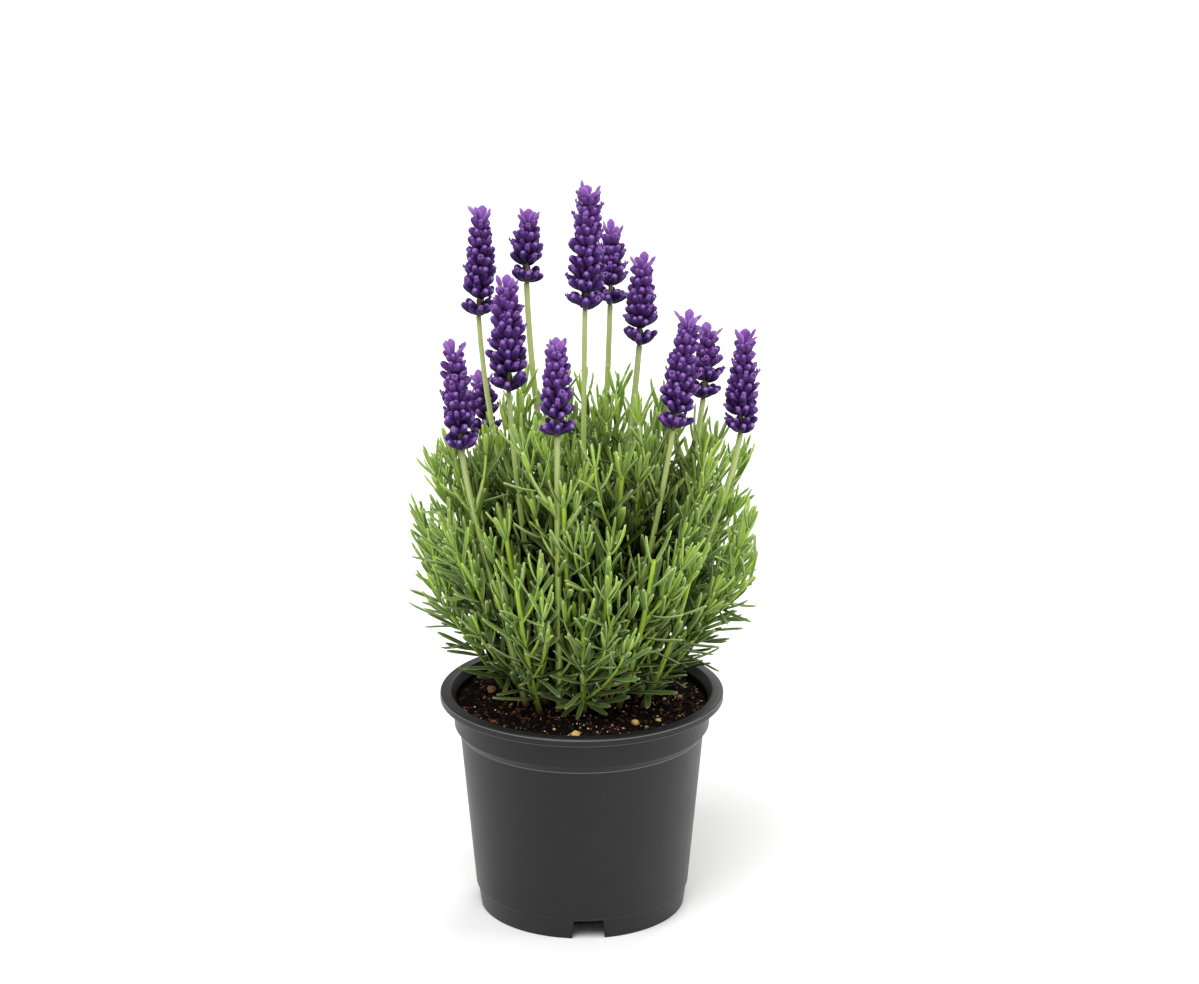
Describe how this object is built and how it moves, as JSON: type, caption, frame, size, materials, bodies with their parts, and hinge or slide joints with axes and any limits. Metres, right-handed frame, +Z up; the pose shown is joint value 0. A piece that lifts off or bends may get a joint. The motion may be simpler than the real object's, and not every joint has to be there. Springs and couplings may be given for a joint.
{
  "type": "potted lavender",
  "caption": "Bushy lavender in flower, with narrow grey-green leaves and violet flower spikes, standing in a round plastic nursery pot of soil.",
  "frame": {"origin": "centre of the pot's foot, on the plane the pot stands on", "axes": "+Z up along the pot's axis, +X to the right and +Y away from a viewer in front"},
  "size_m": [0.1818, 0.15, 0.3948],
  "materials": {
    "pot_plastic": "satin charcoal moulded plastic",
    "potting_soil": "loose dark peat with bark and pale grains",
    "flower_stem_green": "smooth square green stem with narrow leaves",
    "foliage_green": "finely felted grey-green leaves",
    "flower_violet": "velvety violet calyces and petals"
  },
  "bodies": {
    "root": {"pot": "pot_plastic", "soil": "potting_soil", "flower_stem_1": "flower_stem_green", "flower_stem_2": "flower_stem_green", "flower_stem_3": "flower_stem_green", "flower_stem_4": "flower_stem_green", "flower_stem_5": "flower_stem_green", "flower_stem_6": "flower_stem_green", "flower_stem_7": "flower_stem_green", "flower_stem_8": "flower_stem_green", "flower_stem_9": "flower_stem_green", "flower_stem_10": "flower_stem_green", "flower_stem_11": "flower_stem_green", "flower_stem_12": "flower_stem_green", "leafy_shoot_1": "foliage_green", "leafy_shoot_2": "foliage_green", "leafy_shoot_3": "foliage_green", "leafy_shoot_4": "foliage_green", "leafy_shoot_5": "foliage_green", "leafy_shoot_6": "foliage_green", "leafy_shoot_7": "foliage_green", "leafy_shoot_8": "foliage_green", "leafy_shoot_9": "foliage_green", "leafy_shoot_10": "foliage_green", "leafy_shoot_11": "foliage_green", "leafy_shoot_12": "foliage_green", "leafy_shoot_13": "foliage_green", "leafy_shoot_14": "foliage_green", "leafy_shoot_15": "foliage_green", "leafy_shoot_16": "foliage_green", "leafy_shoot_17": "foliage_green", "leafy_shoot_18": "foliage_green", "leafy_shoot_19": "foliage_green", "leafy_shoot_20": "foliage_green", "leafy_shoot_21": "foliage_green", "leafy_shoot_22": "foliage_green", "leafy_shoot_23": "foliage_green", "leafy_shoot_24": "foliage_green", "leafy_shoot_25": "foliage_green", "leafy_shoot_26": "foliage_green", "leafy_shoot_27": "foliage_green", "leafy_shoot_28": "foliage_green", "leafy_shoot_29": "foliage_green", "leafy_shoot_30": "foliage_green", "leafy_shoot_31": "foliage_green", "leafy_shoot_32": "foliage_green", "flower_head_1": "flower_violet", "flower_head_2": "flower_violet", "flower_head_3": "flower_violet", "flower_head_4": "flower_violet", "flower_head_5": "flower_violet", "flower_head_6": "flower_violet", "flower_head_7": "flower_violet", "flower_head_8": "flower_violet", "flower_head_9": "flower_violet", "flower_head_10": "flower_violet", "flower_head_11": "flower_violet", "flower_head_12": "flower_violet"}
  },
  "joints": []
}
